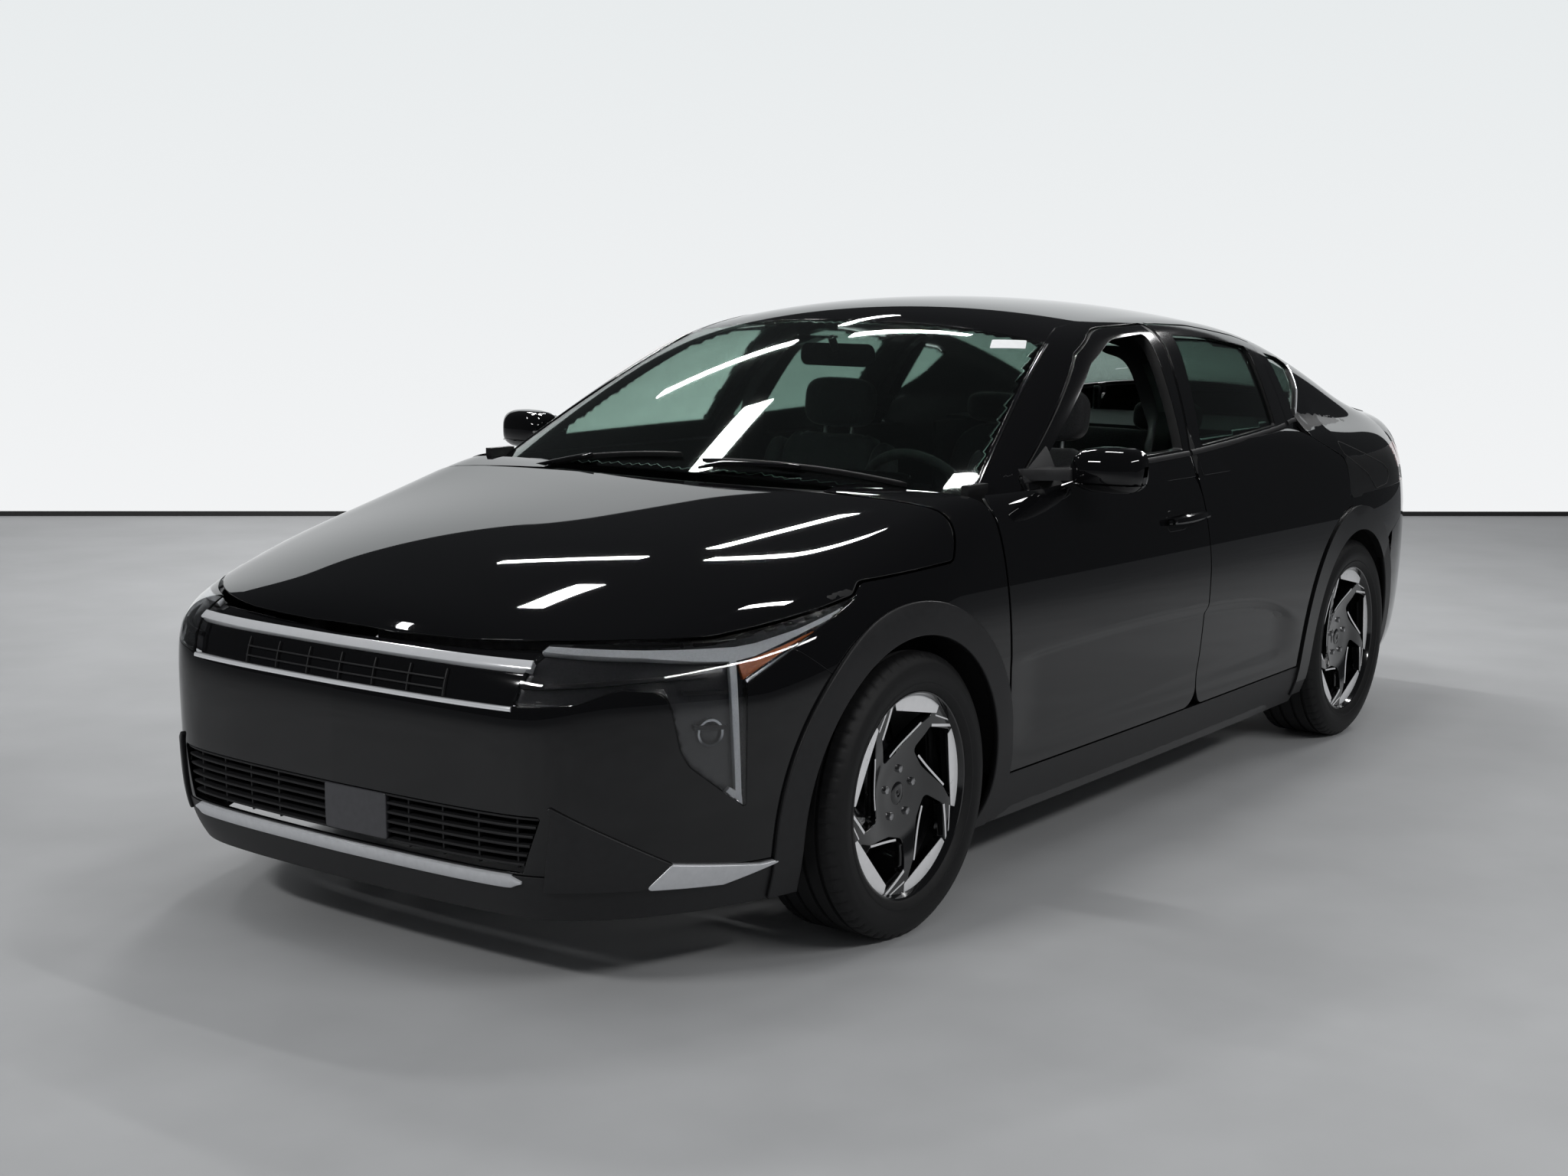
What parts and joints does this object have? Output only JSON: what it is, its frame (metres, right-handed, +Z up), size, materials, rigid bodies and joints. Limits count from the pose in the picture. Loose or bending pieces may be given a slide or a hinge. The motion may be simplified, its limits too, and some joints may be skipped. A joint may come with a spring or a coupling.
{
  "type": "sedan car",
  "caption": "Compact black four-door sedan with a sloping rear roof, opening doors, hood and boot lid, and steered front wheels",
  "frame": {"origin": "on the ground, under the middle of the car's length and width", "axes": "+X forward, +Y to the car's left, +Z up"},
  "size_m": [4.7099, 2.1106, 1.425],
  "materials": {
    "body_paint": "gloss black",
    "window_glass": "lightly tinted",
    "black_plastic": "matt black",
    "dark_satin": "dark grey satin",
    "lamp_lens": "smoked clear lens",
    "tail_lens": "dark red",
    "chassis_steel": "black primer",
    "cast_metal": "rough cast",
    "exhaust_steel": "dull",
    "cabin_plastic": "soft black",
    "seat_fabric": "dark weave",
    "tyre_rubber": "road tyre",
    "wheel_alloy": "gloss black"
  },
  "bodies": {
    "car_body": {"underbody": "chassis_steel", "body_side_left": "body_paint", "body_side_right": "body_paint", "roof_panel": "body_paint", "fender_left": "body_paint", "fender_right": "body_paint", "front_bumper": "body_paint", "rear_bumper": "body_paint", "front_valance": "dark_satin", "upper_grille": "black_plastic", "lower_grille": "black_plastic", "headlamps": "lamp_lens", "tail_lamps": "tail_lens", "windshield": "window_glass", "rear_window": "window_glass", "quarter_glass": "window_glass", "cowl_panel": "black_plastic", "arch_liners": "black_plastic", "engine": "cast_metal", "front_subframe": "chassis_steel", "rear_axle": "chassis_steel", "exhaust": "exhaust_steel", "fuel_tank": "chassis_steel", "dashboard": "cabin_plastic", "steering_wheel": "cabin_plastic", "front_seats": "seat_fabric", "rear_seat": "seat_fabric"},
    "hood": {"hood": "body_paint"},
    "trunk_lid": {"trunk_lid": "body_paint"},
    "front_left_door": {"front_door_left": "body_paint", "door_mirror_left": "body_paint"},
    "front_right_door": {"front_door_right": "body_paint", "front_glass_right": "window_glass", "door_mirror_right": "body_paint"},
    "rear_left_door": {"rear_door_left": "body_paint", "rear_glass_left": "window_glass"},
    "rear_right_door": {"rear_door_right": "body_paint", "rear_glass_right": "window_glass"},
    "left_knuckle": {"knuckle_left": "cast_metal"},
    "right_knuckle": {"knuckle_right": "cast_metal"},
    "front_left_wheel": {"front_rim_left": "wheel_alloy", "front_tyre_left": "tyre_rubber"},
    "front_right_wheel": {"front_rim_right": "wheel_alloy", "front_tyre_right": "tyre_rubber"},
    "rear_left_wheel": {"rear_rim_left": "wheel_alloy", "rear_tyre_left": "tyre_rubber"},
    "rear_right_wheel": {"rear_rim_right": "wheel_alloy", "rear_tyre_right": "tyre_rubber"}
  },
  "joints": [
    {"name": "hood_hinge", "type": "hinge", "parent": "car_body", "child": "hood", "pos_m": [1.176, 0, 0.918], "axis": [0, -1, 0], "range_deg": [0, 50]},
    {"name": "trunk_lid_hinge", "type": "hinge", "parent": "car_body", "child": "trunk_lid", "pos_m": [-1.845, 0, 1.076], "axis": [0, 1, 0], "range_deg": [0, 55]},
    {"name": "front_left_door_hinge", "type": "hinge", "parent": "car_body", "child": "front_left_door", "pos_m": [0.985, 0.876, 0.62], "axis": [0, 0, 1], "range_deg": [-60, 0]},
    {"name": "rear_left_door_hinge", "type": "hinge", "parent": "car_body", "child": "rear_left_door", "pos_m": [-0.141, 0.876, 0.62], "axis": [0, 0, 1], "range_deg": [-60, 0]},
    {"name": "front_right_door_hinge", "type": "hinge", "parent": "car_body", "child": "front_right_door", "pos_m": [0.985, -0.876, 0.62], "axis": [0, 0, 1], "range_deg": [0, 60]},
    {"name": "rear_right_door_hinge", "type": "hinge", "parent": "car_body", "child": "rear_right_door", "pos_m": [-0.141, -0.876, 0.62], "axis": [0, 0, 1], "range_deg": [0, 60]},
    {"name": "left_steering", "type": "hinge", "parent": "car_body", "child": "left_knuckle", "pos_m": [1.455, 0.7, 0.19], "axis": [0, -0.1833, 0.9831], "range_deg": [-35, 35]},
    {"name": "right_steering", "type": "hinge", "parent": "car_body", "child": "right_knuckle", "pos_m": [1.455, -0.7, 0.19], "axis": [0, 0.1833, 0.9831], "range_deg": [-35, 35]},
    {"name": "front_left_wheel_spin", "type": "hinge", "parent": "left_knuckle", "child": "front_left_wheel", "pos_m": [1.455, 0.79, 0.325], "axis": [0, 1, 0], "continuous": true},
    {"name": "rear_left_wheel_spin", "type": "hinge", "parent": "car_body", "child": "rear_left_wheel", "pos_m": [-1.265, 0.79, 0.325], "axis": [0, 1, 0], "continuous": true},
    {"name": "front_right_wheel_spin", "type": "hinge", "parent": "right_knuckle", "child": "front_right_wheel", "pos_m": [1.455, -0.79, 0.325], "axis": [0, 1, 0], "continuous": true},
    {"name": "rear_right_wheel_spin", "type": "hinge", "parent": "car_body", "child": "rear_right_wheel", "pos_m": [-1.265, -0.79, 0.325], "axis": [0, 1, 0], "continuous": true}
  ],
  "couplings": [
    {"joint": "right_steering", "follows": "left_steering", "ratio": 1}
  ]
}
